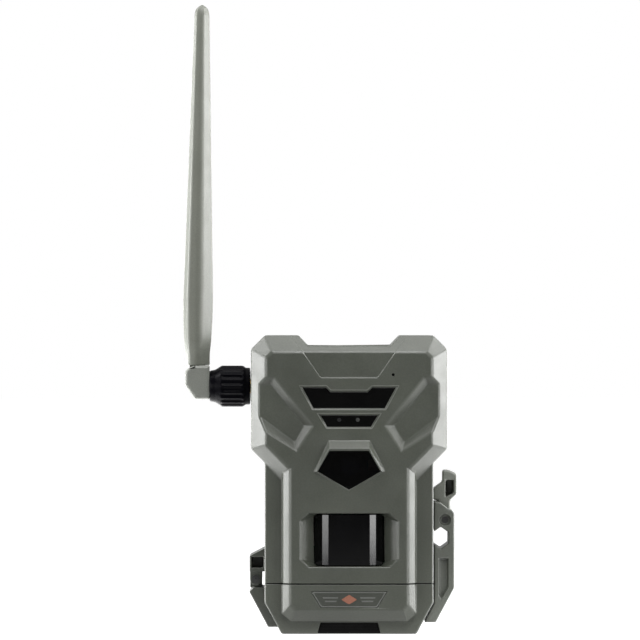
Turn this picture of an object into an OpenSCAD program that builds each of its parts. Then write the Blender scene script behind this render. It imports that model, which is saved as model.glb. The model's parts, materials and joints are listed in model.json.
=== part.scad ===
// Cellular trail camera: a two-shell housing with optics, infrared lamp, motion sensor and radio,
// a hinged door under it with a battery tray behind, a snap latch and a folding antenna.
// Frame: X to the right seen from the front, front towards -Y, Z up.
// The origin is on the flat base that the camera stands on, on its centre plane.

/* [Body] */
// Width across the shoulders
shoulder_w = 85.2; // [84.8:0.1:86]
// Width of the body below the shoulders
waist_w = 73.2; // [73.2:0.1:74]
// Height of the body
body_h = 129.5; // [129:0.1:131]
// Distance of the front face from the centre plane
face_depth = 36; // [36:0.1:37]
// Distance of the back wall from the centre plane
back_depth = 33.5; // [33.5:0.1:34.5]
// Height of the raised front above the side panels
step_depth = 6.5; // [6:0.1:7]
// Wall thickness of the shells
wall = 2.4; // [2:0.1:2.6]
// Height of the seam between housing and door
seam_z = 21.9; // [21.5:0.1:22.3]

/* [Optics] */
// Height of the lens axis
lens_z = 73; // [72.5:0.1:73.5]
// Height of the motion sensor axis
pir_z = 41; // [40.8:0.1:41.2]
// How far the hood over the lens stands out
hood_out = 3.5; // [3:0.1:4]

/* [Batteries] */
// Diameter of one AA cell
cell_d = 14.4; // [13.8:0.1:14.5]
// Distance between neighbouring cells
cell_pitch = 14.8; // [14.6:0.1:14.8]

/* [Hinge and latch] */
// Radius of the door's hinge pin
hinge_pin_r = 1.25; // [1:0.05:1.4]
// Radius of the hinge knuckles
knuckle_r = 2.6; // [2.4:0.1:2.6]
// Depth of the latch arm and the hinge, front to back
arm_depth = 30; // [28:1:30]

/* [Antenna] */
// Height of the antenna's screwed collar
collar_z = 107.2; // [106:0.1:108]
// Height of the antenna's tip
antenna_top = 274.4; // [240:0.5:280]
// Largest radius of the collar
collar_r = 9; // [8.5:0.1:9]

/* [Mounts] */
// Radius of the tripod insert's thread bore
tripod_r = 2.55; // [2.5:0.01:2.6]
// Height of the tripod insert
tripod_z = 96; // [94:0.5:98]
// Height of the strap slots, for 25 mm webbing
strap_h = 28; // [26:0.5:30]

/* [Hidden] */
$fn = 48;

olive = "#6c7162";
dark_olive = "#50554a";
black = "#161817";
board_green = "#2f5a3c";
steel = "#b9bbb8";
gold = "#c9a24a";

shoulder_x = shoulder_w / 2;
waist_x = waist_w / 2;
face_y = -face_depth;
level_y = face_y + step_depth;
parting_y = -8;
back_y = back_depth;
rear_bevel = 3;
rib_y = back_y + 6;
fit_gap = 0.3;
housing_low = seam_z + 0.2;
door_top = seam_z - 0.3;

// A closed outline from its right half, given clockwise from the top
function both_sides(right) =
    concat(right, [for (i = [len(right) - 1:-1:0]) [-right[i][0], right[i][1]]]);

// Outline of both shells seen from the front, down to the height low, each edge moved in by t
function silhouette(t, low) = both_sides([
    [shoulder_x - 6 - 0.4 * t, body_h - t], [shoulder_x - t, body_h - 6 - 0.4 * t],
    [shoulder_x - t, 80 + 0.4 * t], [waist_x - t, 74 + 0.4 * t], [waist_x - t, low],
]);

// The raised front's shoulder and its narrow lower part: foot on the side panels, face in front
function shoulder_foot(t) = both_sides([
    [shoulder_x - 6 - 0.4 * t, body_h - t], [shoulder_x - t, body_h - 6 - 0.4 * t],
    [shoulder_x - t, 80 + 0.4 * t], [29.1 - 0.4 * t, 66.5 + t],
]);
function shoulder_face(t) = both_sides([
    [33.4 - 0.4 * t, body_h - 7.1 - 0.4 * t], [36 - 0.4 * t, body_h - 9.7 - 0.4 * t],
    [36 - 0.4 * t, 82 + 0.2 * t], [26.3 - 0.2 * t, 72.3 + 0.4 * t],
]);
strip_foot_x = 28.8;
strip_face_x = 25.5;
// Depth at which the strip's chamfer ends and its steep side begins
strip_y = face_y + strip_foot_x - strip_face_x;
function strip_foot(t, low) = both_sides([[strip_foot_x - t, 72], [strip_foot_x - t, low]]);
function strip_face(t, low) = both_sides([[strip_face_x - 0.5 * t, 74], [strip_face_x - 0.5 * t, low]]);

// Each pocket beside the windows: its rim on the front face and its floor, on the right
pocket_depth = 3;
pocket_rim = [[44, 111.5], [44, 93.3], [22.6, 79.4], [15.5, 90.3], [32.5, 111.5]];
pocket_floor = [[44, 108.3], [44, 98.5], [23.7, 83.4], [19.5, 90.4], [34, 108.3]];

ir_outline = both_sides([[8.2, 105], [10.2, 106.9], [20.1, 106.9], [15.4, 98.1]]);
sensor_outline = both_sides([[12.3, 94.9], [9.4, 90]]);
lens_outline = [[8.5, 79.6], [13.6, 70.6], [0, 62.7], [-13.6, 70.6], [-8.5, 79.6]];
pir_rim = both_sides([[17.6, 52.4], [21.4, 48.9], [21.4, 32.9], [17.6, 29.4]]);
pir_seat = both_sides([[14, 52.2], [15.4, 50.8], [15.4, 31], [14, 29.6]]);

// Prism of an outline in the X-Z plane between two depths
module slab(outline, y_front, y_back) {
    translate([0, y_back, 0])
        rotate([90, 0, 0])
            linear_extrude(y_back - y_front)
                polygon(outline);
}

// Solid between two rings of points with equal counts, the first one in front
module skin(front, back) {
    n = len(front);
    sides = [for (i = [0:n - 1]) [i, n + i, n + (i + 1) % n, (i + 1) % n]];
    caps = [[for (i = [0:n - 1]) i], [for (i = [n - 1:-1:0]) n + i]];
    polyhedron(concat(front, back), concat(caps, sides));
}

// Solid between two outlines at two depths
module frustum(front, y_front, back, y_back) {
    skin([for (p = front) [p[0], y_front, p[1]]], [for (p = back) [p[0], y_back, p[1]]]);
}

// Cylinder along Y from y0 to y1 about the point (x, z)
module bar_y(x, z, r, y0, y1) {
    translate([x, y1, z])
        rotate([90, 0, 0])
            cylinder(r = r, h = y1 - y0);
}

// Cylinder along X from x0 to x1 about the point (y, z)
module bar_x(y, z, r, x0, x1) {
    translate([x0, y, z])
        rotate([0, 90, 0])
            cylinder(r = r, h = x1 - x0);
}

// Block from one corner to the other
module block(low, high) {
    translate(low)
        cube(high - low);
}

module mirrored() {
    children();
    mirror([1, 0, 0])
        children();
}

// An outline made larger by the factor k about height z
function grown(outline, k, z) = [for (p = outline) [p[0] * k, z + (p[1] - z) * k]];

// ---------- Housing ----------

screw_places = [[-33.7, 30], [33.7, 30], [-37.2, 90], [37.2, 90], [-35, 118.5], [35, 118.5]];
screw_r = 1;
screw_head_r = 1.9;
boss_r = 3.2;
screw_seat_y = 10;

module screw_columns(y0, y1) {
    for (p = screw_places)
        bar_y(p[0], p[1], boss_r, y0, y1);
}

// The front shell's body moved in by t, open towards the rear shell by extra
module front_body(t, low, extra) {
    slab(silhouette(t, low), level_y + t - 0.01, parting_y + extra);
    frustum(shoulder_face(t), face_y + t, shoulder_foot(t), level_y + t);
    frustum(strip_face(t, low), face_y + t, strip_foot(t, low), strip_y + t);
    slab(strip_foot(t, low), strip_y + t - 0.01, level_y + t);
}

// Shallow notch in the middle of the top, from front to back, made larger by t
module top_notch(t, y_front, y_back) {
    slab([[-22.2 - t, body_h + 0.1], [22.2 + t, body_h + 0.1], [17.8 + t, body_h - 4.6 - t],
        [-17.8 - t, body_h - 4.6 - t]], y_front, y_back);
}

module lens_hood() {
    tilt = 0.237;
    rim = [[-8.7, 80.6], [8.7, 80.6], [14.3, 70.5], [0, 62], [-14.3, 70.5]];
    foot = [[-8.8, 84.5], [8.8, 84.5], [15.9, 70.6], [0, 60.9], [-15.9, 70.6]];
    skin(
        [for (p = rim) [p[0], face_y - hood_out + tilt * (80.6 - p[1]), p[1]]],
        [for (p = foot) [p[0], face_y + 0.6, p[1]]]
    );
}

module pocket_cut() {
    k = (pocket_depth + 1) / pocket_depth;
    top = [for (i = [0:4]) pocket_floor[i] + k * (pocket_rim[i] - pocket_floor[i])];
    mirrored()
        frustum(top, face_y - 1, pocket_floor, face_y + pocket_depth);
}

// Wall that stays behind each pocket and round the motion sensor's recess
module kept_walls() {
    mirrored()
        slab([[44, 113.5], [44, 90.5], [22.3, 76.6], [13.2, 90.3], [31.6, 113.5]],
            face_y, face_y + pocket_depth + wall);
    frustum(grown(pir_rim, 1.12, pir_z), face_y, grown(pir_seat, 1.16, pir_z), level_y + wall + 0.1);
    slab(grown(lens_outline, 1.25, 71), face_y, face_y + 4.4);
    screw_columns(face_y, parting_y);
    top_notch(wall, face_y, parting_y + 2);
}

// Half width of the sunk panel in the top of the front face
function panel_half(z) = 12.4 + 0.7 * (z - 111);

// Shallow panel with sloping walls, sunk into the top of the front face and the bevel over it
module top_panel() {
    depth = 0.45;
    rise = 0.8;
    low = 111;
    knee = body_h - 7.1;
    lap = 0.05;
    frustum(
        both_sides([[panel_half(knee + lap) + rise, knee + lap], [panel_half(low - rise) + rise, low - rise]]),
        face_y - rise,
        both_sides([[panel_half(knee + lap) - depth, knee + lap], [panel_half(low + depth) - depth, low + depth]]),
        face_y + depth
    );
    rings = [for (z = [knee - lap, body_h + 0.1])
        let (y = face_y + (z - knee) * step_depth / 7.1, half = panel_half(z))
            [[half + rise, y - rise, z], [half - depth, y + depth, z], [depth - half, y + depth, z],
                [-half - rise, y - rise, z]]];
    skin(rings[0], rings[1]);
}

module front_housing() {
    color(olive)
        difference() {
            union() {
                front_body(0, housing_low, 0);
                lens_hood();
            }
            difference() {
                front_body(wall, housing_low + wall, 1);
                kept_walls();
            }
            top_notch(0, face_y - 1, parting_y + 1);
            pocket_cut();
            top_panel();
            frustum(pir_rim, face_y - 0.01, pir_seat, level_y);
            slab(pir_seat, level_y - 0.5, level_y + 6);
            slab(ir_outline, face_y - 1, face_y + 9);
            slab(sensor_outline, face_y - 1, face_y + 9);
            slab(lens_outline, face_y - 5, face_y + 9);
            bar_y(19.1, 112.5, 0.65, face_y - 1, face_y + 4);
            for (p = screw_places)
                bar_y(p[0], p[1], screw_r + 0.05, -19, parting_y + 1);
            block([-28, -26, housing_low - 1], [28, -10, housing_low + wall + 1]);
            housing_gasket();
        }
}

module rear_body() {
    y_bevel = back_y - rear_bevel;
    low = housing_low;
    shoulder = both_sides([[shoulder_x - 6, body_h], [shoulder_x, body_h - 6], [shoulder_x, 80], [waist_x, 74]]);
    shoulder_back = both_sides([
        [shoulder_x - 7.9, body_h - 3], [shoulder_x - 3, body_h - 7.3], [shoulder_x - 3, 81.2], [waist_x - 3, 75.2],
    ]);
    waist = both_sides([[waist_x, 78], [waist_x, low]]);
    waist_back = both_sides([[waist_x - 3, 78], [waist_x - 3, low]]);
    slab(silhouette(0, low), parting_y, y_bevel + 0.01);
    frustum(shoulder, y_bevel, shoulder_back, back_y);
    frustum(waist, y_bevel, waist_back, back_y);
}

module rear_housing() {
    low = housing_low;
    color(olive)
        difference() {
            union() {
                rear_body();
                tree_ribs();
                bar_y(0, tripod_z, 9, back_y - 1, rib_y);
            }
            top_notch(0, parting_y - 1, back_y + 1);
            difference() {
                slab(silhouette(wall, low + wall), parting_y - 1, back_y - 4.5);
                top_notch(wall, parting_y - 2, back_y);
                screw_columns(parting_y, back_y);
                bar_y(0, tripod_z, 7, 26, back_y);
            }
            block([-31.2, -3.4, low - 1], [31.2, back_y - wall, 84]);
            block([9.4, -7.3, low - 1], [21.6, -5.5, low + wall + 1]);
            bar_y(0, tripod_z, 4, 28.9, rib_y + 1);
            for (p = screw_places) {
                bar_y(p[0], p[1], screw_r + 0.3, parting_y - 1, back_y);
                bar_y(p[0], p[1], screw_head_r + 0.3, screw_seat_y, back_y + 1);
            }
            bar_x(4, collar_z, 3.4, -shoulder_x - 1, -shoulder_x + 4);
            bar_x(inlet_y, inlet_z, 4.2, -waist_x - 1, -waist_x + 4);
            bar_x(inlet_y, inlet_z, 4.9, -waist_x - 1, -waist_x + inlet_sunk);
        }
}

// Two upright ribs on the back, toothed to grip bark, each with a slot for the strap
module tree_ribs() {
    tooth = 4;
    mirrored()
        difference() {
            block([21, back_y - 1, 34], [29, rib_y, 117]);
            for (z = [36:tooth:114])
                translate([20, rib_y, z])
                    rotate([45, 0, 0])
                        cube([10, 1.4, 1.4]);
            block([20, back_y, 76 - strap_h / 2], [30, back_y + 3.6, 76 + strap_h / 2]);
        }
}

module housing_gasket() {
    y0 = parting_y - 0.8;
    low = housing_low + 0.6;
    color(black)
        difference() {
            slab(silhouette(0.6, low), y0, parting_y);
            top_notch(0.6, y0 - 1, parting_y + 1);
            difference() {
                slab(silhouette(1.8, low + 1.2), y0 - 1, parting_y + 1);
                top_notch(1.8, y0 - 2, parting_y + 2);
            }
        }
}

module housing_screws() {
    color(steel)
        for (p = screw_places) {
            bar_y(p[0], p[1], screw_r, -16, screw_seat_y);
            difference() {
                bar_y(p[0], p[1], screw_head_r, screw_seat_y, screw_seat_y + 2);
                bar_y(p[0], p[1], 0.9, screw_seat_y + 0.8, screw_seat_y + 3);
            }
        }
}

// ---------- Windows and optics ----------

pane_front = face_y + 0.6;
pane_back = face_y + wall;

// A pane flush in its opening, with a flange glued behind the wall
module pane(outline, centre_z) {
    slab(outline, pane_front, pane_back);
    slab(grown(outline, 1.1, centre_z), pane_back, pane_back + 0.9);
}

module ir_window() {
    color(black)
        pane(ir_outline, 102.5);
}

module ir_led_board() {
    color(board_green)
        block([-22, -29.9, 97], [22, -28.3, 109]);
}

module ir_leds() {
    color("#d8dadf")
        for (row = [0, 1])
            for (i = [0:9 - 2 * row])
                bar_y((i - 4.5 + row) * 3.8, 103.4 - row * 3.8, 1.5, -32, -29.9);
}

module sensor_window() {
    color(black)
        pane(sensor_outline, 92.5);
}

module light_sensor() {
    color("#7a7f86")
        bar_y(-4.3, 93, 1.2, -32.4, -29);
}

module indicator_led() {
    color("#c9d4c4")
        bar_y(3.7, 93, 1.2, -32.4, -29);
}

module lens_window() {
    color(black) {
        slab(lens_outline, face_y + 1.2, face_y + 4.4);
        slab(grown(lens_outline, 1.15, 71), face_y + 4.4, face_y + 5.2);
    }
}

module lens_barrel() {
    color(black)
        difference() {
            bar_y(0, lens_z, 6, -30.4, -16.2);
            bar_y(0, lens_z, 4.6, -31, -22);
            bar_y(0, lens_z, 3.2, -23, -16);
        }
}

module lens_glass() {
    color("#8fa3b5") {
        bar_y(0, lens_z, 4.6, -29.6, -27.4);
        bar_y(0, lens_z, 4.6, -25.6, -23.4);
    }
}

module lens_holder() {
    color(black)
        difference() {
            union() {
                bar_y(0, lens_z, 8, -23.4, -15);
                block([-13, -15.6, lens_z - 9], [13, -12.7, lens_z + 9]);
            }
            bar_y(0, lens_z, 6, -24, -16.2);
            bar_y(0, lens_z, 3.4, -17, -12);
            block([-12, -15, lens_z - 4.2], [12, -14, lens_z + 4.2]);
        }
}

module image_sensor_board() {
    color(board_green) {
        block([-12, -11.9, lens_z - 12], [12, -10.3, lens_z + 12]);
        block([-3, -12.6, lens_z - 2.4], [3, -11.9, lens_z + 2.4]);
    }
}

module ir_cut_filter() {
    color("#b98f9c")
        block([-4, -14.8, lens_z - 4], [4, -14.2, lens_z + 4]);
}

module ir_cut_coil() {
    color("#9a5b32")
        bar_x(-18.4, lens_z, 2.4, 8.4, 14);
}

module pir_lens() {
    facets = both_sides([[8.8, -34], [11.8, -32.6], [15.1, -29.2], [15.1, -27.6], [13.6, -27.6],
        [13.6, -28.6], [11, -31.2], [8.4, -32.6]]);
    outline = both_sides([[13.8, 52], [15.1, 50.7], [15.1, 31.1], [13.8, 29.8]]);
    color(black)
        intersection() {
            translate([0, 0, 29.8])
                linear_extrude(22.2)
                    polygon(facets);
            slab(outline, level_y - 6, level_y + 3);
        }
}

module pir_sensor() {
    color(steel) {
        bar_y(0, pir_z, 4.2, -21, -17);
        bar_y(0, pir_z, 4.9, -17, -16.4);
    }
}

module pir_board() {
    color(board_green)
        block([-11, -16.4, pir_z - 9], [11, -14.8, pir_z + 9]);
}

// ---------- Electronics ----------

board_front = -5.4;
board_back = -4.4;
board_screw_places = [[-26, 29], [26, 29], [-26, 74], [26, 74]];

module main_board() {
    color(board_green)
        difference() {
            block([-29.5, board_front, 25.4], [29.5, board_back, 118]);
            for (p = board_screw_places)
                bar_y(p[0], p[1], 1.1, board_front - 1, board_back + 1);
        }
}

module board_screws() {
    color(steel)
        for (p = board_screw_places) {
            bar_y(p[0], p[1], 2, board_front - 1.2, board_front);
            bar_y(p[0], p[1], 0.8, board_front, board_back + 0.9);
        }
}

module modem_module() {
    color("#c3c5c2") {
        block([-18, -6.4, 88], [18, board_front, 117]);
        block([-16, -8.4, 90], [16, -6.4, 115]);
    }
}

// Coaxial lead from the antenna socket round the main board to the modem
module antenna_cable() {
    r = 0.7;
    bend = 2.5;
    color("#2a2a2c") {
        bar_x(4, collar_z, r, -36, -34.5);
        translate([-34.5, 4 - bend, collar_z])
            rotate_extrude(angle = 90)
                translate([bend, 0])
                    circle(r);
        translate([-34.5 + bend, 4 - bend, collar_z])
            rotate([90, 0, 0])
                cylinder(r = r, h = 9.5);
        translate([-29.5, -8, collar_z])
            rotate([0, 0, 180])
                rotate_extrude(angle = 90)
                    translate([bend, 0])
                        circle(r);
        bar_x(-8 - bend, collar_z, r, -29.5, -14);
        bar_y(-13, collar_z, 1.6, -11.6, -8.4);
    }
}

module microphone() {
    color("#3b3d3c")
        bar_y(19.1, 112.5, 2.2, -33.6, -31);
}

module battery_bay() {
    color("#3c3f3b")
        difference() {
            block([-31.2, -3.4, 24.5], [31.2, 31.1, 78]);
            block([-30.7, -2.2, 23], [30.7, 32, 76]);
            for (p = board_screw_places)
                bar_y(p[0], p[1], 0.85, -5, -2);
            block([-22.3, 8, 75], [22.3, 22, 79]);
        }
    color("#3c3f3b")
        for (p = board_screw_places)
            difference() {
                bar_y(p[0], p[1], 2.2, board_back, -3.4);
                bar_y(p[0], p[1], 0.85, -5, -2);
            }
}

// Sprung contact pins over the tray
module bay_contacts() {
    color(gold) {
        block([-22.3, 8, 76], [22.3, 22, 78]);
        for (x = [-15, -5, 5, 15])
            translate([x, 15, 70.6])
                cylinder(r = 1.6, h = 5.4);
    }
}

panel_low = housing_low;
power_place = [-18, -18];
format_place = [-8, -18];

module control_panel() {
    color(black)
        difference() {
            block([-28, -26, panel_low], [28, -10, panel_low + wall]);
            translate([power_place[0], power_place[1], panel_low - 1])
                cylinder(r = 3.6, h = 5);
            translate([format_place[0], format_place[1], panel_low - 1])
                cylinder(r = 2.3, h = 5);
            for (i = [0:3])
                translate([2 + 5 * i, -18, panel_low - 1])
                    cylinder(r = 1, h = 5);
        }
}

module control_board() {
    color(board_green)
        block([-25, -25, 29.5], [25, -10.4, 31.1]);
    color(black) {
        block([power_place[0] - 3, power_place[1] - 3, 27.5], [power_place[0] + 3, power_place[1] + 3, 29.5]);
        block([format_place[0] - 3, format_place[1] - 3, 27.5], [format_place[0] + 3, format_place[1] + 3, 29.5]);
    }
}

// A push button with a flange that keeps it behind the panel
module button(place, r) {
    translate([place[0], place[1], 0]) {
        translate([0, 0, panel_low - 0.9])
            cylinder(r = r, h = wall + 0.9);
        translate([0, 0, panel_low + wall + 0.05])
            cylinder(r = r + 0.9, h = 0.9);
        translate([0, 0, panel_low + wall])
            cylinder(r = 1.4, h = 2.2);
    }
}

module power_button() {
    color("#a33a2c")
        button(power_place, 3.5);
}

module format_button() {
    color("#8a8d88")
        button(format_place, 2.2);
}

module status_lights() {
    color("#dfe6d8")
        for (i = [0:3])
            translate([2 + 5 * i, -18, panel_low + 0.4])
                cylinder(r = 0.95, h = 29.5 - panel_low - 0.4);
}

inlet_y = 24;
inlet_z = 45;
inlet_sunk = 1.3;
card_x = 15.5;
card_w = 11;

module microsd_slot() {
    color(steel)
        difference() {
            block([card_x - 7, -7.2, 27], [card_x + 7, board_front, 42]);
            block([card_x - 5.7, -6.9, 26], [card_x + 5.7, -5.7, 38.6]);
        }
}

module microsd_card() {
    color("#24272b")
        block([card_x - card_w / 2, -6.7, 20.9], [card_x + card_w / 2, -5.9, 35.9]);
}

module sim_holder() {
    color(steel)
        block([-24, -6.9, 40], [-10, board_front, 56]);
    color("#e6e4da")
        block([-23, -6.6, 37.5], [-11, -5.9, 40]);
}

module dc_jack() {
    color(black)
        difference() {
            bar_x(inlet_y, inlet_z, 4.2, -waist_x + inlet_sunk, -waist_x + 3.6);
            bar_x(inlet_y, inlet_z, 2.8, -waist_x, -waist_x + 3.4);
        }
}

module dc_plug() {
    color(black) {
        bar_x(inlet_y, inlet_z, 2.6, -waist_x + 1, -waist_x + 3.2);
        bar_x(inlet_y, inlet_z, 4.6, -waist_x + 0.05, -waist_x + inlet_sunk - 0.05);
    }
}

module tripod_insert() {
    color(gold)
        difference() {
            bar_y(0, tripod_z, 4, 28.9, rib_y);
            bar_y(0, tripod_z, tripod_r, 28, rib_y + 1);
        }
}

// ---------- Door, hinge and latch ----------

hinge_x = -40.6;
hinge_z = 22.9;
arm_y0 = -6;
arm_y1 = arm_y0 + arm_depth;
segment = arm_depth / 5;
arm_x = 37.3;
latch_x = 42;
latch_z = 48.8;
latch_y0 = 4;
latch_y1 = 18;

// Knuckle number i of five, with its web to the height z
module knuckle(i, z) {
    y0 = arm_y0 + i * segment + 0.1;
    y1 = arm_y0 + (i + 1) * segment - 0.1;
    bar_y(hinge_x, hinge_z, knuckle_r, y0, y1);
    block([hinge_x - knuckle_r, y0, min(z, hinge_z)], [hinge_x + knuckle_r, y1, max(z, hinge_z)]);
}

module hinge_bracket() {
    color(dark_olive)
        difference() {
            union() {
                slab([[-43.4, 26.3], [-43.4, 33], [-37.2, 36.2], [-waist_x, 36.2], [-waist_x, 26.3]],
                    arm_y0, arm_y1);
                for (i = [0, 2, 4])
                    knuckle(i, 26.4);
            }
            block([-42.4, arm_y0 - 1, 28], [-waist_x - 0.8, arm_y0 + 8, 32.6]);
            bar_y(hinge_x, hinge_z, hinge_pin_r, arm_y0 - 1, arm_y1 + 1);
        }
}

module hinge_pin() {
    color(steel) {
        bar_y(hinge_x, hinge_z, hinge_pin_r, arm_y0 - 0.4, arm_y1 + 0.4);
        bar_y(hinge_x, hinge_z, hinge_pin_r + 0.6, arm_y0 - 1, arm_y0 - 0.01);
    }
}

module hinge_arm() {
    color(dark_olive)
        difference() {
            union() {
                slab([[-41.5, 19.4], [-waist_x, 19.4], [-waist_x, 13.6], [-30.29, 2], [-35.3, 2], [-43.6, 17.5]],
                    arm_y0, arm_y1);
                for (i = [1, 3])
                    knuckle(i, 19);
            }
            bar_y(hinge_x, hinge_z, hinge_pin_r + 0.05, arm_y0 - 1, arm_y1 + 1);
        }
}

// Wedge under the lever's nose. Its slope follows the nose's path as the door opens
module latch_keeper() {
    color(dark_olive)
        slab([[waist_x, 56.4], [waist_x + 1.6, 52.6], [waist_x + 1.6, 50.4], [waist_x, 48.6]],
            latch_y0 + 1, latch_y1 - 1);
}

eye_x = 40.2;
eye_z = 41;
arm_screw_y = [2, 16];
arm_screw_z = 17;
arm_screw_r = 1.5;

module latch_arm() {
    outline = [[arm_x, 56.8], [40.1, 56.4], [42.9, 54], [45.2, 53], [46.2, 51.6], [46.2, 19.2], [38, 4],
        [33, 4], [arm_x, 12.4]];
    eye = [[eye_x, eye_z + 4.8], [eye_x + 3.3, eye_z + 2.4], [eye_x + 3.3, eye_z - 2.4], [eye_x, eye_z - 4.8],
        [eye_x - 3.3, eye_z - 2.4], [eye_x - 3.3, eye_z + 2.4]];
    panel = [[43.3, 32], [43.3, 19.6], [40.4, 14.5], [39.5, 16], [39.5, 32]];
    color(dark_olive)
        difference() {
            union() {
                slab(outline, arm_y0, arm_y1);
                block([waist_x, arm_y0 + 4, 14], [arm_x + 0.5, arm_y1 - 2, 20]);
            }
            slab(eye, arm_y0 - 1, arm_y1 + 1);
            slab(panel, arm_y0 - 1, arm_y0 + 2);
            block([arm_x - 1, latch_y0, 44.8], [47, latch_y1, 58]);
            bar_y(latch_x, latch_z, 1.5, arm_y0 - 1, arm_y1 + 1);
            bar_y(latch_x, latch_z, 2.6, arm_y0 - 1, arm_y0 + 1.6);
            for (y = arm_screw_y)
                bar_x(y, arm_screw_z, arm_screw_r, waist_x - 1, arm_x + 2);
        }
}

module arm_screws() {
    color(steel)
        for (y = arm_screw_y)
            bar_x(y, arm_screw_z, arm_screw_r, waist_x - 1, arm_x + 2);
}

module latch_pin() {
    color(steel)
        bar_y(latch_x, latch_z, 1.5, arm_y0 + 1.7, arm_y1);
}

module latch_lever() {
    lever = [[41.1, 70.4], [43.7, 70.4], [47.3, 68.8], [47.3, 59.8], [44.6, 57.2], [44.9, 48.8], [44.6, 46.4],
        [39.4, 46.4], [39.1, 57], [36.9, 57.4], [36.9, 62.3], [41.1, 65.3]];
    color(dark_olive)
        difference() {
            slab(lever, latch_y0 + fit_gap, latch_y1 - fit_gap);
            bar_y(latch_x, latch_z, 1.55, latch_y0 - 1, latch_y1 + 1);
            slab([[42.4, 66], [46, 66], [46, 60.4], [42.4, 58.6]], latch_y0, latch_y0 + 9);
        }
}

door_face = both_sides([[25.5, door_top], [25.5, 13], [23.6, 10.5]]);
door_foot = both_sides([[strip_foot_x, door_top], [strip_foot_x, 9], [25, 5.8]]);

module door_outer() {
    outline = both_sides([[waist_x, door_top], [waist_x, 13.6], [29.2, 0]]);
    back_face = both_sides([[waist_x - 3, door_top], [waist_x - 3, 14.4], [27.2, 2]]);
    slab(outline, level_y - 0.01, back_y - rear_bevel + 0.01);
    frustum(outline, back_y - rear_bevel, back_face, back_y);
    frustum(door_face, face_y, door_foot, strip_y);
    slab(door_foot, strip_y - 0.01, level_y);
}

module bottom_door() {
    inner = both_sides([[waist_x - wall, door_top + 1], [waist_x - wall, 14.6], [27.6, wall]]);
    face_in = both_sides([[24.4, door_top + 1], [24.4, 14], [23, 12.4]]);
    foot_in = both_sides([[26.4, door_top + 1], [26.4, 10.4], [24.4, 8.4]]);
    tray_relief = both_sides([[31.8, door_top + 1], [31.8, 10.2], [27.6, wall]]);
    color(olive)
        difference() {
            door_outer();
            slab(inner, level_y + wall, back_y - 4.5);
            slab(tray_relief, back_y - 5, back_y - wall);
            frustum(face_in, face_y + wall, foot_in, level_y + wall + 0.01);
            slab([[-12.5, 5], [12.5, 5], [14, -1], [-14, -1]], level_y - 3, level_y + 1.4);
            slab([[-16.6, 18.7], [16.6, 18.7], [12.3, 11.6], [-12.3, 11.6]], face_y - 1, face_y + 0.6);
            seal_ring();
            for (y = arm_screw_y)
                bar_x(y, arm_screw_z, arm_screw_r, waist_x - 2, waist_x + 1);
        }
}

module seal_ring() {
    translate([0, 0, door_top - 0.8])
        linear_extrude(housing_low - door_top + 0.75)
            difference() {
                polygon([[-35.8, -28.7], [35.8, -28.7], [35.8, 30.6], [33.5, 32.7], [-33.5, 32.7], [-35.8, 30.6]]);
                polygon([[-34.7, -27.6], [34.7, -27.6], [34.7, 30.2], [33, 31.6], [-33, 31.6], [-34.7, 30.2]]);
            }
}

module door_seal() {
    color(black)
        seal_ring();
}

module badge_plate() {
    color("#5a5f52")
        slab([[-16.4, 18.6], [16.4, 18.6], [12.2, 11.7], [-12.2, 11.7]], face_y + 0.2, face_y + 0.6);
}

// ---------- Battery tray ----------

tray_x = 30.4;
tray_side = 0.9;
tray_y0 = -1.7;
tray_y1 = 30.6;
tray_low = 12.8;
tray_top = 70.2;
cell_low = 17;
row_y = [7, 7 + cell_pitch];

module battery_tray() {
    color("#4c5048")
        difference() {
            union() {
                block([-tray_x, tray_y0, tray_low], [tray_x, tray_y1, tray_top]);
                block([-9, 12, 6.6], [9, 15, tray_low]);
            }
            block([tray_side - tray_x, tray_y0 - 1, 14.4], [tray_x - tray_side, tray_y1 + 1, 68.4]);
            block([-6, 11, 8.4], [6, 16, 11.4]);
        }
    color("#4c5048")
        block([tray_side - tray_x, 14.2, 14.4], [tray_x - tray_side, 14.6, 20]);
}

module batteries() {
    color("#8a8f96")
        for (i = [0:3])
            for (j = [0, 1])
                translate([(i - 1.5) * cell_pitch, row_y[j], cell_low]) {
                    cylinder(r = cell_d / 2 - 0.05, h = 49.2);
                    cylinder(r = 2.7, h = 50.5);
                }
}

module tray_contacts() {
    color(steel)
        for (i = [0:3])
            for (j = [0, 1])
                translate([(i - 1.5) * cell_pitch, row_y[j], 0]) {
                    translate([0, 0, 14.4])
                        cylinder(r1 = 4, r2 = 2.4, h = cell_low - 14.4);
                    translate([-5, -5, 67.6])
                        cube([10, 10, 0.8]);
                }
    color(gold)
        for (x = [-15, -5, 5, 15])
            translate([x - 2, 13, tray_top])
                cube([4, 4, 0.2]);
}

// ---------- Antenna ----------

antenna_y = 4;
pivot_x = -66.3;
pivot_z = collar_z + 2.3;
cheek_r = 6.8;
pin_r = 1.25;
seam_at = pivot_z + cheek_r + 0.15;

module antenna_socket() {
    color(gold)
        difference() {
            union() {
                bar_x(antenna_y, collar_z, 3.1, -52, -36);
                bar_x(antenna_y, collar_z, 5, -shoulder_x + wall, -36.5);
            }
            bar_x(antenna_y, collar_z, 1.6, -53, -46);
        }
}

module antenna_gasket() {
    color(black)
        difference() {
            bar_x(antenna_y, collar_z, 6.6, -shoulder_x - 0.4, -shoulder_x);
            bar_x(antenna_y, collar_z, 3.2, -44, -42);
        }
}

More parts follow.
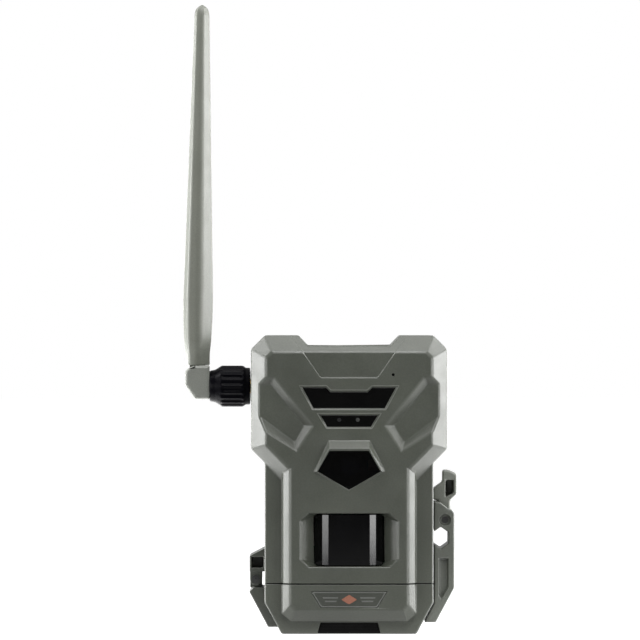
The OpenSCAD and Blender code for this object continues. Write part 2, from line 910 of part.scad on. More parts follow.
module collar_nut() {
    flutes = 20;
    profile = [[3.7, -61], [6.8, -61], [7.2, -58.6], [collar_r, -55.6], [collar_r, -46.4], [8.1, -45.2],
        [8.1, -43.2], [3.2, -43.2], [3.2, -52.3], [5.2, -52.3], [5.2, -54.4], [3.7, -54.4]];
    color(black)
        difference() {
            translate([0, antenna_y, collar_z])
                rotate([0, 90, 0])
                    rotate_extrude()
                        polygon(profile);
            for (i = [0:flutes - 1])
                translate([0, antenna_y, collar_z])
                    rotate([i * 360 / flutes, 0, 0])
                        bar_x(0, collar_r + 0.5, 1, -56, -46);
        }
}

module antenna_elbow() {
    left = pivot_x - 5.4;
    body = concat(
        [[pivot_x, pivot_z + cheek_r], [-61, pivot_z + cheek_r], [-61, 101.5], [-67.5, 101.5], [left, 107.6]],
        [for (a = [143:-9:98]) [pivot_x + cheek_r * cos(a), pivot_z + cheek_r * sin(a)]]
    );
    color(olive)
        difference() {
            union() {
                slab(body, antenna_y - 5.5, antenna_y + 5.5);
                bar_x(antenna_y, collar_z, 3.6, -61.2, -52.4);
                bar_x(antenna_y, collar_z, 5, -54.2, -52.5);
            }
            block([-73, antenna_y - 2.45, pivot_z - 4], [-62.4, antenna_y + 2.45, 120]);
            bar_y(pivot_x, pivot_z, pin_r, antenna_y - 4.5, antenna_y + 6);
        }
}

module antenna_pin() {
    color(steel)
        bar_y(pivot_x, pivot_z, pin_r, antenna_y - 4.5, antenna_y + 5.4);
}

// Six-sided section of the blade: half width w, half thickness t, crease towards the left
function blade_ring(x, z, w, t) = [
    [x - w, antenna_y + 0.2 * t, z], [x - w + 0.16 * 2 * w, antenna_y - 0.85 * t, z],
    [x - 0.1 * w, antenna_y - t, z], [x + 0.25 * w, antenna_y - 0.9 * t, z],
    [x + w, antenna_y + 0.2 * t, z], [x + 0.5 * w, antenna_y + t, z], [x - 0.5 * w, antenna_y + t, z],
];

module antenna_blade() {
    length = antenna_top - 126;
    lean = 2;
    rings = [[122, 5.4, 4.6], [126, 6.2, 4.4], [145, 6.95, 4.2], [antenna_top - 5, 3.5, 2.6], [antenna_top - 1.2, 2.7, 2.2],
        [antenna_top, 1.6, 1.4]];
    n = 7;
    points = [for (r = rings) each blade_ring(pivot_x + lean * max(0, r[0] - 126) / length, r[0], r[1], r[2])];
    last = len(rings) - 1;
    walls = [for (k = [0:last - 1]) for (i = [0:n - 1])
        [k * n + i, (k + 1) * n + i, (k + 1) * n + (i + 1) % n, k * n + (i + 1) % n]];
    caps = [[for (i = [0:n - 1]) i], [for (i = [n - 1:-1:0]) last * n + i]];
    color("#74796b") {
        polyhedron(points, concat(caps, walls));
        translate([pivot_x, antenna_y, seam_at])
            cylinder(r = 5.65, h = 122.01 - seam_at);
        difference() {
            union() {
                bar_y(pivot_x, pivot_z, 3.6, antenna_y - 2.3, antenna_y + 2.3);
                block([pivot_x - 3.6, antenna_y - 2.3, pivot_z], [pivot_x + 3.6, antenna_y + 2.3, seam_at + 1]);
            }
            bar_y(pivot_x, pivot_z, 1.3, antenna_y - 3, antenna_y + 3);
        }
    }
}

front_housing();
rear_housing();
housing_gasket();
housing_screws();
ir_window();
ir_led_board();
ir_leds();
sensor_window();
light_sensor();
indicator_led();
lens_window();
lens_barrel();
lens_glass();
lens_holder();
image_sensor_board();
ir_cut_filter();
ir_cut_coil();
pir_lens();
pir_sensor();
pir_board();
main_board();
board_screws();
modem_module();
antenna_cable();
microphone();
battery_bay();
bay_contacts();
control_panel();
control_board();
power_button();
format_button();
status_lights();
microsd_slot();
microsd_card();
sim_holder();
dc_jack();
dc_plug();
tripod_insert();
hinge_bracket();
hinge_pin();
latch_keeper();
bottom_door();
door_seal();
badge_plate();
hinge_arm();
latch_arm();
arm_screws();
latch_lever();
latch_pin();
battery_tray();
batteries();
tray_contacts();
antenna_socket();
antenna_gasket();
collar_nut();
antenna_elbow();
antenna_pin();
antenna_blade();
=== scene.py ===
"""A cellular trail camera: finished meshes, materials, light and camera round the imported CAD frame."""
import json
from math import cos, pi, radians, sin

import bmesh
import bpy
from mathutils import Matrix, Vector
from mathutils.bvhtree import BVHTree
from mathutils.geometry import delaunay_2d_cdt, intersect_point_line


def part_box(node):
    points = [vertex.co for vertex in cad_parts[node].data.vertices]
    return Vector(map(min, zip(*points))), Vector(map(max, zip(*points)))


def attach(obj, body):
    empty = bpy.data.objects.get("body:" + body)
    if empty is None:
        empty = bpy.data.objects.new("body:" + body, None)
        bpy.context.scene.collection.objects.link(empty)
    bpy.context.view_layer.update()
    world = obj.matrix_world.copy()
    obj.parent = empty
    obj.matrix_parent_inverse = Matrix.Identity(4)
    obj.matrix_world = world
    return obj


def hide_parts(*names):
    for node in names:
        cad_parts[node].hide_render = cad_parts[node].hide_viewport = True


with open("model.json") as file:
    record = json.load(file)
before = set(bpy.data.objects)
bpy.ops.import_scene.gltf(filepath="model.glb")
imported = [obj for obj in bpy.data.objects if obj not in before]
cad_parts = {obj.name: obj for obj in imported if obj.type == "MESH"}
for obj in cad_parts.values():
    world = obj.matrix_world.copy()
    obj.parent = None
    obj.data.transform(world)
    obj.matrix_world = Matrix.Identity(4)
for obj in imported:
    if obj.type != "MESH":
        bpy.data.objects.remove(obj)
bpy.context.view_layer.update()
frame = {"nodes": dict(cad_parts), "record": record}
nodes = frame["nodes"]

MM = 0.001


def corner_mm(node):
    """A CAD node's lowest and highest corner, in millimetres."""
    low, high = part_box(node)
    return low / MM, high / MM


# ---------- Places taken from the frame, in millimetres ----------

front_low, front_high = corner_mm("front_housing")
rear_low = corner_mm("rear_housing")[0]
door_low, door_high = corner_mm("bottom_door")
LEVEL_Y = -29.5  # the side panels' depth
FACE_Y = door_low.y
PARTING_Y = front_high.y
SHOULDER_X = front_high.x
WAIST_X = door_high.x
BODY_TOP = front_high.z
CELL_R, SPRING_WIRE = 7.15, 0.28

# The right halves of the upper windows' outlines, (x, z)
IR_RIGHT = [(8.2, 105), (10.2, 106.9), (20.1, 106.9), (15.4, 98.1)]
SENSOR_RIGHT = [(12.3, 94.9), (9.4, 90)]

# Zones of the front about the centre plane: half width, lowest and highest point
HOOD_ZONE = (16.2, 60.6, 84.8)
IR_ZONE = (21.0, 97.8, 107.1)
SENSOR_ZONE = (13.0, 89.8, 95.1)
PIR_ZONE = (21.8, 29.2, 52.6)
BADGE_ZONE = (17.0, 11.4, 18.9)
LIP_ZONE = (14.2, -0.1, 5.9)


# ---------- Materials ----------

def new_material(name):
    """An empty node material with its Principled shader and output."""
    made = bpy.data.materials.new(name)
    made.use_nodes = True
    return made, made.node_tree, made.node_tree.nodes["Principled BSDF"]


def add(tree, kind, inputs=None, **settings):
    """A node with its settings and input values. A link is given as (node, output name)."""
    node = tree.nodes.new(kind)
    for key, value in settings.items():
        setattr(node, key, value)
    for key, value in (inputs or {}).items():
        socket = node.inputs[key]
        if isinstance(value, tuple) and isinstance(value[0], bpy.types.Node):
            tree.links.new(value[0].outputs[value[1]], socket)
        else:
            socket.default_value = value
    return node


def noise(tree, scale, detail=3.0, roughness=0.55, offset=0.0):
    """Noise in object space. The scale is in cycles for each metre."""
    place = add(tree, "ShaderNodeTexCoord")
    shift = add(tree, "ShaderNodeMapping", {
        "Vector": (place, "Object"), "Location": (offset, offset, offset)})
    return add(tree, "ShaderNodeTexNoise", {
        "Vector": (shift, "Vector"), "Scale": scale, "Detail": detail, "Roughness": roughness})


def ramp(tree, source, stops, output="Fac"):
    """A colour ramp over a node's output. Each stop is (position, colour)."""
    node = add(tree, "ShaderNodeValToRGB", {"Fac": (source, output)})
    elements = node.color_ramp.elements
    while len(elements) < len(stops):
        elements.new(0.5)
    for element, (position, colour) in zip(elements, stops):
        element.position = position
        element.color = (*colour, 1.0) if len(colour) == 3 else colour
    return node


def grey(value):
    """A neutral colour."""
    return (value, value, value)


def scaled(colour, factor):
    """A colour made lighter or darker, and kept within 1."""
    return tuple(min(1.0, c * factor) for c in colour)


def wire(tree, shader, tone, gloss, bump=None, output="Color"):
    """Joins a tone, a gloss and a bump to the shader."""
    tree.links.new(tone.outputs[output], shader.inputs["Base Color"])
    tree.links.new(gloss.outputs["Color"], shader.inputs["Roughness"])
    if bump:
        tree.links.new(bump.outputs["Normal"], shader.inputs["Normal"])


def moulded(name, colour, rough=0.42, grain=0.35, grain_scale=2600, variation=0.12, specular=0.5):
    """Moulded plastic: a fine spark-eroded grain, faint cloudy tone and patches of wear in its gloss."""
    made, tree, shader = new_material(name)
    cloud = noise(tree, 38, 4.0)
    tone = ramp(tree, cloud, [(0.32, scaled(colour, 1 - variation)), (0.68, scaled(colour, 1 + variation))])
    speck = noise(tree, grain_scale * 0.6, 2.0, offset=3.1)
    flecks = ramp(tree, speck, [(0.42, grey(0.88)), (0.6, grey(1.0))])
    mixed = add(tree, "ShaderNodeMix", data_type="RGBA", blend_type="MULTIPLY")
    mixed.inputs["Factor"].default_value = 1.0
    tree.links.new(tone.outputs["Color"], mixed.inputs["A"])
    tree.links.new(flecks.outputs["Color"], mixed.inputs["B"])
    rub = noise(tree, 120, 5.0, 0.62, offset=7.7)
    gloss = ramp(tree, rub, [(0.3, grey(rough * 0.86)), (0.7, grey(rough * 1.14))])
    fine = noise(tree, grain_scale, 3.0, offset=1.3)
    bump = add(tree, "ShaderNodeBump", {
        "Height": (fine, "Fac"), "Strength": grain, "Distance": 0.00006})
    wire(tree, shader, mixed, gloss, bump, output="Result")
    shader.inputs["Specular IOR Level"].default_value = specular
    return made


def gloss_black(name, colour, rough=0.07):
    """Polished infrared-pass plastic with faint ripples and dust-fine scratches."""
    made, tree, shader = new_material(name)
    haze = noise(tree, 60, 3.0)
    tone = ramp(tree, haze, [(0.3, scaled(colour, 0.8)), (0.7, scaled(colour, 1.25))])
    smear = noise(tree, 210, 4.0, 0.6, offset=5.2)
    gloss = ramp(tree, smear, [(0.35, grey(rough)), (0.75, grey(rough * 2.0))])
    wave = noise(tree, 90, 1.0, offset=2.4)
    bump = add(tree, "ShaderNodeBump", {"Height": (wave, "Fac"), "Strength": 0.04, "Distance": 0.0002})
    wire(tree, shader, tone, gloss, bump)
    shader.inputs["IOR"].default_value = 1.49
    return made


def metal(name, colour, rough=0.3, brushed=0.0):
    """Bare metal with turned or brushed marks, and darker patches of handling."""
    made, tree, shader = new_material(name)
    patch = noise(tree, 160, 4.0)
    tone = ramp(tree, patch, [(0.3, scaled(colour, 0.75)), (0.7, colour)])
    shader.inputs["Metallic"].default_value = 1.0
    marks = noise(tree, 900, 4.0, 0.7, offset=4.4)
    gloss = ramp(tree, marks, [(0.3, grey(rough * 0.7)), (0.7, grey(rough * 1.4))])
    place = add(tree, "ShaderNodeTexCoord")
    stretch = add(tree, "ShaderNodeMapping", {"Vector": (place, "Object"), "Scale": (1.0, 30.0, 30.0)})
    lines = add(tree, "ShaderNodeTexNoise", {"Vector": (stretch, "Vector"), "Scale": 260.0, "Detail": 2.0})
    bump = add(tree, "ShaderNodeBump", {
        "Height": (lines, "Fac"), "Strength": 0.08 + brushed, "Distance": 0.00005})
    wire(tree, shader, tone, gloss, bump)
    return made


def soft_rubber(name, colour, specular=0.5):
    """Matt rubber with a pebbled skin and pale dust."""
    made, tree, shader = new_material(name)
    dust = noise(tree, 140, 5.0)
    tone = ramp(tree, dust, [(0.4, colour), (0.8, scaled(colour, 1.9))])
    patch = noise(tree, 300, 3.0, offset=6.1)
    gloss = ramp(tree, patch, [(0.3, grey(0.62)), (0.7, grey(0.8))])
    pebble = noise(tree, 3200, 2.0, offset=0.6)
    bump = add(tree, "ShaderNodeBump", {"Height": (pebble, "Fac"), "Strength": 0.4, "Distance": 0.00005})
    wire(tree, shader, tone, gloss, bump)
    shader.inputs["Specular IOR Level"].default_value = specular
    return made


def clear_part(name, colour, rough=0.05, transmission=0.85, ior=1.5):
    """Clear glass or epoxy with a faint tint and smears."""
    made, tree, shader = new_material(name)
    smear = noise(tree, 220, 4.0)
    tone = ramp(tree, smear, [(0.3, scaled(colour, 0.9)), (0.7, colour)])
    gloss = ramp(tree, smear, [(0.3, grey(rough)), (0.8, grey(rough * 2.5))])
    wire(tree, shader, tone, gloss)
    shader.inputs["Transmission Weight"].default_value = transmission
    shader.inputs["IOR"].default_value = ior
    return made


def circuit(name):
    """Green solder mask over copper traces, drawn as fine brick-like lanes."""
    made, tree, shader = new_material(name)
    place = add(tree, "ShaderNodeTexCoord")
    turn = add(tree, "ShaderNodeMapping", {"Vector": (place, "Object"), "Rotation": (radians(90), 0, 0)})
    lanes = add(tree, "ShaderNodeTexBrick", {
        "Vector": (turn, "Vector"), "Scale": 260.0, "Mortar Size": 0.06, "Mortar Smooth": 0.2,
        "Color1": (0.012, 0.06, 0.028, 1), "Color2": (0.018, 0.085, 0.038, 1),
        "Mortar": (0.035, 0.16, 0.07, 1)})
    fine = noise(tree, 1400, 3.0)
    gloss = ramp(tree, fine, [(0.3, grey(0.22)), (0.7, grey(0.36))])
    bump = add(tree, "ShaderNodeBump", {"Height": (lanes, "Fac"), "Strength": 0.3, "Distance": 0.00004})
    wire(tree, shader, lanes, gloss, bump)
    return made


def cell_jacket(name):
    """Printed film of a plain AA cell: a dark body and a coppery band at the positive end."""
    made, tree, shader = new_material(name)
    place = add(tree, "ShaderNodeTexCoord")
    split = add(tree, "ShaderNodeSeparateXYZ", {"Vector": (place, "Object")})
    band = add(tree, "ShaderNodeMapRange", {
        "Value": (split, "Z"), "From Min": 0.0525, "From Max": 0.0527, "To Min": 0.0, "To Max": 1.0})
    film = ramp(tree, band, [(0.0, (0.03, 0.032, 0.036)), (1.0, (0.55, 0.27, 0.1))], "Result")
    scuff = noise(tree, 400, 4.0)
    gloss = ramp(tree, scuff, [(0.3, grey(0.2)), (0.7, grey(0.36))])
    wire(tree, shader, film, gloss)
    shader.inputs["Metallic"].default_value = 0.55
    return made


def tinted_pane(name, tint, rough=0.04):
    """Smoked acrylic: glossy in front, and dark enough to hide all but the brightest parts behind it."""
    made, tree, shader = new_material(name)
    haze = noise(tree, 75, 3.0)
    tone = ramp(tree, haze, [(0.3, scaled(tint, 0.85)), (0.7, scaled(tint, 1.1))])
    smear = noise(tree, 240, 4.0, 0.6, offset=2.9)
    gloss = ramp(tree, smear, [(0.35, grey(rough)), (0.75, grey(rough * 2.2))])
    wire(tree, shader, tone, gloss)
    shader.inputs["Transmission Weight"].default_value = 1.0
    shader.inputs["IOR"].default_value = 1.49
    return made


def cell_lens(name):
    """Milky black polythene of a motion sensor's lens, with arcs of fine Fresnel steps in a grid of cells."""
    made, tree, shader = new_material(name)
    place = add(tree, "ShaderNodeTexCoord")
    flat = add(tree, "ShaderNodeMapping", {"Vector": (place, "Object"), "Rotation": (radians(90), 0, 0)})
    cells = add(tree, "ShaderNodeTexVoronoi", {
        "Vector": (flat, "Vector"), "Scale": 190.0, "Randomness": 0.0}, voronoi_dimensions="2D")
    rings = add(tree, "ShaderNodeMath", {0: (cells, "Distance"), 1: 34.0}, operation="MULTIPLY")
    steps = add(tree, "ShaderNodeMath", {0: (rings, "Value")}, operation="FRACT")
    haze = noise(tree, 90, 3.0)
    tone = ramp(tree, haze, [(0.3, (0.0012, 0.0012, 0.0014)), (0.7, (0.002, 0.002, 0.0023))])
    gloss = ramp(tree, haze, [(0.3, grey(0.07)), (0.7, grey(0.11))])
    bump = add(tree, "ShaderNodeBump", {"Height": (steps, "Value"), "Strength": 0.05, "Distance": 0.00001})
    wire(tree, shader, tone, gloss, bump)
    shader.inputs["Specular IOR Level"].default_value = 0.35
    return made


OLIVE = (0.064, 0.07, 0.056)
# A darker copy of the olive plastic for the hinge and keeper parts: painted shade
PAINTED_SHADE_OLIVE = (0.042, 0.046, 0.037)
ANTENNA = (0.14, 0.147, 0.124)

# One material for each slot of the record
MATERIALS = {
    "olive_shell": moulded("olive_shell", OLIVE, 0.38, 0.3, specular=0.75),
    # The dark_olive slot is painted shade: the olive plastic made darker
    "dark_olive": moulded("dark_olive", PAINTED_SHADE_OLIVE, 0.4, 0.35, specular=0.7),
    "antenna_grey": moulded("antenna_grey", ANTENNA, 0.38, 0.2, 3200, 0.05, 0.6),
    "black_gloss": gloss_black("black_gloss", (0.0022, 0.0022, 0.0022)),
    "black_satin": moulded("black_satin", (0.0014, 0.0013, 0.0024), 0.3, 0.12, specular=0.05),
    "black_rubber": soft_rubber("black_rubber", (0.008, 0.008, 0.008)),
    "lens_glass": clear_part("lens_glass", (0.75, 0.82, 0.95), 0.03, 0.8, 1.6),
    "filter_glass": clear_part("filter_glass", (0.75, 0.35, 0.45), 0.04, 0.6),
    "circuit_board": circuit("circuit_board"),
    "led_clear": clear_part("led_clear", (0.85, 0.87, 0.85), 0.08, 0.55),
    "steel": metal("steel", (0.56, 0.56, 0.55), 0.32),
    "brass": metal("brass", (0.72, 0.5, 0.2), 0.28, 0.1),
    "tray_plastic": moulded("tray_plastic", (0.045, 0.049, 0.042), 0.5, 0.3),
    "cell_jacket": cell_jacket("cell_jacket"),
    "button_red": moulded("button_red", (0.42, 0.045, 0.03), 0.4, 0.2),
    "button_grey": moulded("button_grey", (0.26, 0.27, 0.26), 0.42, 0.2),
    "coil_copper": metal("coil_copper", (0.5, 0.2, 0.08), 0.35, 0.3),
    "pin_steel": metal("pin_steel", (0.1, 0.1, 0.1), 0.36),
}

# Materials of single pieces
SMOKED = tinted_pane("smoked_pane", (0.13, 0.13, 0.145))
FRESNEL = cell_lens("fresnel_lens")
PORT_DIM = clear_part("port_dim", (0.008, 0.008, 0.009), 0.2, 0.1)
PORT_PALE = clear_part("port_pale", (0.045, 0.047, 0.045), 0.2, 0.1)
# A lighter copy of the olive plastic for the latch arm: painted light where the side lamps fall on it
PAINTED_LIGHT_ARM = moulded("arm_olive_painted_light", (0.1, 0.107, 0.092), 0.36, 0.3, specular=0.75)
# A still lighter copy of the olive plastic for the latch lever and the lines round the windows: a painted
# highlight
PAINTED_HIGHLIGHT_LEVER = moulded("lever_olive_painted_highlight", (0.16, 0.168, 0.148), 0.34, 0.3, specular=0.8)
# A lighter copy of the antenna's grey plastic for the elbow: painted light
PAINTED_LIGHT_ELBOW = moulded("elbow_grey_painted_light", (0.2, 0.208, 0.187), 0.38, 0.2, 3200, 0.05, 0.6)
GRIP = soft_rubber("grip_rubber", (0.002, 0.002, 0.002), 0.15)
EMBLEM = moulded("emblem_orange", (0.29, 0.12, 0.078), 0.42, 0.2, 2600, 0.08)
EMBLEM_GREY = moulded("emblem_grey", (0.13, 0.135, 0.125), 0.4, 0.2, 2600, 0.06)


# ---------- Mesh helpers ----------

WELD, FLAT_ANGLE = 1.5e-5, 0.6  # metres and degrees, for cleaning a CAD mesh
SHARPEST = 12  # degrees: a softer edge than this isn't rounded
SHORT_EDGE, SHORT_SIZE = 0.5, 0.15
FACE_SHARE, GAP_SHARE = 0.4, 0.9  # how much of a narrow face the roundings may take


def cad_bmesh(node):
    """A CAD node's mesh with its seams welded and its flat faces merged."""
    bm = bmesh.new()
    bm.from_mesh(nodes[node].data)
    bmesh.ops.remove_doubles(bm, verts=bm.verts, dist=WELD)
    bmesh.ops.dissolve_degenerate(bm, dist=1e-5, edges=bm.edges)
    bmesh.ops.dissolve_limit(bm, angle_limit=radians(FLAT_ANGLE), verts=bm.verts, edges=bm.edges)
    bm.normal_update()
    return bm


def link_mesh(name, mesh, material, body, replaced=()):
    """Adds a mesh as a piece that rides on a body and stands for CAD nodes."""
    mesh.materials.clear()
    mesh.materials.append(MATERIALS.get(material) if isinstance(material, str) else material)
    made = bpy.data.objects.new(name, mesh)
    bpy.context.scene.collection.objects.link(made)
    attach(made, body)
    if replaced:
        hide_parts(*replaced)
    return made


def make_object(name, bm, material, body, replaced=()):
    """Turns a bmesh into a piece and frees it."""
    mesh = bpy.data.meshes.new(name)
    bm.normal_update()
    bm.to_mesh(mesh)
    bm.free()
    return link_mesh(name, mesh, material, body, replaced)


def smooth_by_angle(mesh, angle):
    """Smooth shading, with hard edges from an angle in degrees upwards."""
    mesh.shade_smooth()
    mesh.set_sharp_from_angle(angle=radians(angle))


def mend_face(bm, face):
    """Cuts a flat face whose outline crosses itself into triangles that cover it once."""
    normal = face.normal.copy()
    across = normal.orthogonal().normalized()
    up = normal.cross(across)
    corners = list(face.verts)
    base = corners[0].co.copy()
    flat = [Vector(((v.co - base).dot(across), (v.co - base).dot(up))) * 1000 for v in corners]
    points, _, faces, sources, _, _ = delaunay_2d_cdt(flat, [], [list(range(len(flat)))], 1, 1e-5)
    made = []
    for point, source in zip(points, sources):
        at = base + (across * point.x + up * point.y) / 1000
        made.append(corners[source[0]] if source else bm.verts.new(at))
    bmesh.ops.delete(bm, geom=[face], context="FACES_ONLY")
    for triangle in faces:
        chosen = [made[i] for i in triangle]
        if len(set(chosen)) == 3 and not bm.faces.get(chosen):
            new = bm.faces.new(chosen)
            new.normal_update()
            if new.normal.dot(normal) < 0:
                new.normal_flip()


def mend_mesh(mesh):
    """Mends the flat faces that can't be cut into triangles as they are."""
    bm = bmesh.new()
    bm.from_mesh(mesh)
    covered = {}
    for a, b, c in bm.calc_loop_triangles():
        area = (b.vert.co - a.vert.co).cross(c.vert.co - a.vert.co).length / 2
        covered[a.face] = covered.get(a.face, 0.0) + area
    faces = [f for f, area in covered.items() if len(f.verts) > 4 and area > 1.004 * f.calc_area()]
    for face in faces:
        mend_face(bm, face)
    bm.to_mesh(mesh)
    bm.free()


def apply_modifiers(piece, sharp_angle=34):
    """Bakes a piece's modifiers into its mesh and keeps its hard edges hard."""
    bpy.context.view_layer.update()
    evaluated = piece.evaluated_get(bpy.context.evaluated_depsgraph_get())
    mesh = bpy.data.meshes.new_from_object(evaluated)
    mend_mesh(mesh)
    piece.modifiers.clear()
    piece.data = mesh
    smooth_by_angle(mesh, sharp_angle)


def even_normals(piece):
    """Keeps flat faces flat and lets only the rounded edges turn."""
    made = piece.modifiers.new("even_normals", "WEIGHTED_NORMAL")
    made.keep_sharp = True
    made.weight = 80


class Edge:
    """What the rounding rules look at in one edge, in millimetres."""

    def __init__(self, edge):
        self.a = edge.verts[0].co / MM
        self.b = edge.verts[1].co / MM
        self.mid = (self.a + self.b) / 2
        self.length = (self.a - self.b).length
        faces = edge.link_faces
        self.out = (faces[0].normal + faces[1].normal).normalized()
        self.angle = faces[0].normal.angle(faces[1].normal)
        self.room = min(face.calc_area() / MM ** 2 for face in faces) / self.length

    def at(self, axis, value, near=0.06):
        """Whether both ends lie at a value along an axis."""
        return abs(self.a[axis] - value) < near and abs(self.b[axis] - value) < near

    def within(self, half_width, low, high):
        """Whether the whole edge lies in a box about the centre plane."""
        return all(abs(p.x) < half_width and low < p.z < high for p in (self.a, self.b))


def gap(a, b):
    """The distance between two edges that don't cross."""
    nearest = []
    for one, other in ((a, b), (b, a)):
        start, end = (v.co for v in other.verts)
        for vert in one.verts:
            foot, along = intersect_point_line(vert.co, start, end)
            foot = start if along < 0 else end if along > 1 else foot
            nearest.append((vert.co - foot).length)
    return min(nearest) / MM


def fit_across_faces(bm, sizes):
    """Shrinks the roundings that would meet across a narrow face."""
    for face in bm.faces:
        loops = [(loop.edge, (loop.link_loop_next.vert.co - loop.vert.co).normalized())
                 for loop in face.loops]
        count = len(loops)
        for i in range(count):
            for j in range(i + 2, count if i else count - 1):
                (a, along), (b, back) = loops[i], loops[j]
                wanted = sizes.get(a, 0) + sizes.get(b, 0)
                if wanted and along.dot(back) < -0.4:
                    room = GAP_SHARE * gap(a, b)
                    if wanted > room:
                        for edge in (a, b):
                            sizes[edge] = sizes.get(edge, 0) * room / wanted


def round_edges(bm, rule, largest):
    """Stores each edge's rounding as a bevel weight. The rule gives millimetres for an Edge."""
    layer = bm.edges.layers.float.new("bevel_weight_edge")
    sizes = {}
    for edge in bm.edges:
        if len(edge.link_faces) != 2:
            continue
        seen = Edge(edge)
        if seen.angle < radians(SHARPEST):
            continue
        size = rule(seen)
        if seen.length < SHORT_EDGE:
            size = min(size, SHORT_SIZE)
        sizes[edge] = min(size, FACE_SHARE * seen.room)
    fit_across_faces(bm, sizes)
    for edge, size in sizes.items():
        edge[layer] = size / largest


def add_bevel(piece, largest, segments):
    """A bevel whose width follows the stored weights."""
    made = piece.modifiers.new("round", "BEVEL")
    made.limit_method = "WEIGHT"
    made.width = largest * MM
    made.segments = segments
    made.use_clamp_overlap = False
    made.loop_slide = True
    made.miter_outer = "MITER_SHARP"


def outside_test(bm):
    """A function that says whether an edge can be seen from outside the shell."""
    tree = BVHTree.FromBMesh(bm)

    def is_outside(seen):
        start = seen.mid * MM + seen.out * 0.0002
        return tree.ray_cast(start, seen.out, 0.2)[0] is None
    return is_outside


def hold_to_shape(mesh, shape, box, reach):
    """Brings back the corners that the rounding has thrown off the CAD shape."""
    low, high = box
    for vert in mesh.vertices:
        spot, _, _, distance = shape.find_nearest(vert.co)
        past = max(max(low[k] - vert.co[k], vert.co[k] - high[k]) for k in range(3))
        if distance > reach or past > 1e-6:
            vert.co = spot


def refine(node, body, slot, rule, largest, segments=3, material=None):
    """Builds a CAD node again with rounded edges."""
    bm = cad_bmesh(node)
    shape = BVHTree.FromBMesh(bm)
    round_edges(bm, rule(bm) if rule in SHELL_RULES else rule, largest)
    piece = make_object(node + "_fine", bm, material or slot, body, [node])
    add_bevel(piece, largest, segments)
    apply_modifiers(piece)
    hold_to_shape(piece.data, shape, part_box(node), 0.5 * largest * MM)
    even_normals(piece)
    return piece


def plain(size):
    """A rule that rounds every edge alike."""
    return lambda e: size


# ---------- Rounding of the shells ----------

def on_silhouette(e):
    """Whether an edge lies on the outermost outline of the two shells."""
    x, z = abs(e.mid.x), e.mid.z
    side = x > SHOULDER_X - 0.3 or (x > WAIST_X - 0.3 and z < 80.2)
    corner = x + z > SHOULDER_X + BODY_TOP - 6.4 or (WAIST_X < x and x - z > WAIST_X - 74.6)
    top = z > BODY_TOP - 0.3 or (x < 21.3 and abs(z - BODY_TOP + 4.6) < 0.3)
    return side or corner or top


def front_rule(bm):
    """Radii on the front shell: broad on the raised front, fine round the windows."""
    is_outside = outside_test(bm)

    def radius(e):
        x, y, z = abs(e.mid.x), e.mid.y, e.mid.z
        if e.at(1, PARTING_Y):
            return 0.25 if on_silhouette(e) else 0.0
        if e.at(2, front_low.z):
            return 0.25 if x > WAIST_X - 0.3 or y < LEVEL_Y + 0.3 else 0.0
        if e.out.y > 0.25 or y > PARTING_Y - 1 or not is_outside(e):
            return 0.0
        if e.within(*HOOD_ZONE):
            return 0.4 if e.at(1, FACE_Y, 0.3) else 0.26 * (y < FACE_Y)
        if e.within(*IR_ZONE) or e.within(*SENSOR_ZONE):
            return 0.9 if e.at(1, FACE_Y) else 0.0
        if x < 27 and z > 110.4 and e.out.y < -0.8 and not e.at(2, front_high.z - 7.1, 0.2):
            return 0.12
        if e.within(*PIR_ZONE):
            return 0.7 if e.at(1, FACE_Y) else 0.25
        if x > 15.3 and 79 < z < 111.8 and y < FACE_Y + 3.3 and x < 36.2:
            return 0.75 if e.at(1, FACE_Y) else 0.6
        return 1.15 if e.at(1, FACE_Y) else 0.8
    return radius


def rear_rule(bm):
    """Radii on the rear shell: soft at the back, fine on the strap ribs."""
    is_outside = outside_test(bm)

    def radius(e):
        if e.at(1, PARTING_Y):
            return 0.25 if on_silhouette(e) else 0.0
        if e.at(2, rear_low.z):
            return 0.25 if abs(e.mid.x) > WAIST_X - 3.2 or e.mid.y > 30 else 0.0
        if e.out.y < -0.25 or not is_outside(e):
            return 0.0
        return 0.3 if e.mid.y > 33.6 else 0.8
    return radius


def door_rule(bm):
    """Radii on the door: its raised face fades softly into the lower corners."""
    is_outside = outside_test(bm)

    def radius(e):
        x, y, z = abs(e.mid.x), e.mid.y, e.mid.z
        if e.at(2, door_high.z):
            return 0.22 if x > WAIST_X - 0.3 or y < LEVEL_Y + 0.3 or y > 33 else 0.0
        if e.out.z > 0.6 or not is_outside(e):
            return 0.0
        if e.within(*BADGE_ZONE):
            return 0.15
        if e.within(*LIP_ZONE) and y < LEVEL_Y + 1.6:
            return 0.3
        if e.at(1, FACE_Y):
            return 1.15 if z > 13.5 else 1.7
        if y < LEVEL_Y + 0.5 and 5.5 < z < 9.2 and x < 29:
            return 0.5
        return 0.8
    return radius


def elbow_radius(e):
    """Soft vertical corners in front and behind, and a finer edge elsewhere."""
    low, high = corner_mm("antenna_elbow")
    return 1.5 if e.at(1, low.y) or e.at(1, high.y) else 0.5


SHELL_RULES = (front_rule, rear_rule, door_rule)


# ---------- Own meshes ----------

def tube_of_rings(bm, rings, closed=False):
    """Joins rings of equal counts of points into a skin. Returns the rings' vertices."""
    made = [[bm.verts.new(Vector(p) * MM) for p in ring] for ring in rings]
    count = len(made[0])
    pairs = list(zip(made, made[1:]))
    if closed:
        pairs.append((made[-1], made[0]))
    for low, high in pairs:
        for i in range(count):
            j = (i + 1) % count
            bm.faces.new((low[i], low[j], high[j], high[i]))
    return made


def cap(bm, ring, middle, flip=False):
    """Closes a ring with a fan about a middle point."""
    centre = bm.verts.new(Vector(middle) * MM)
    for i in range(len(ring)):
        a, b = ring[i], ring[(i + 1) % len(ring)]
        bm.faces.new((b, a, centre) if flip else (a, b, centre))


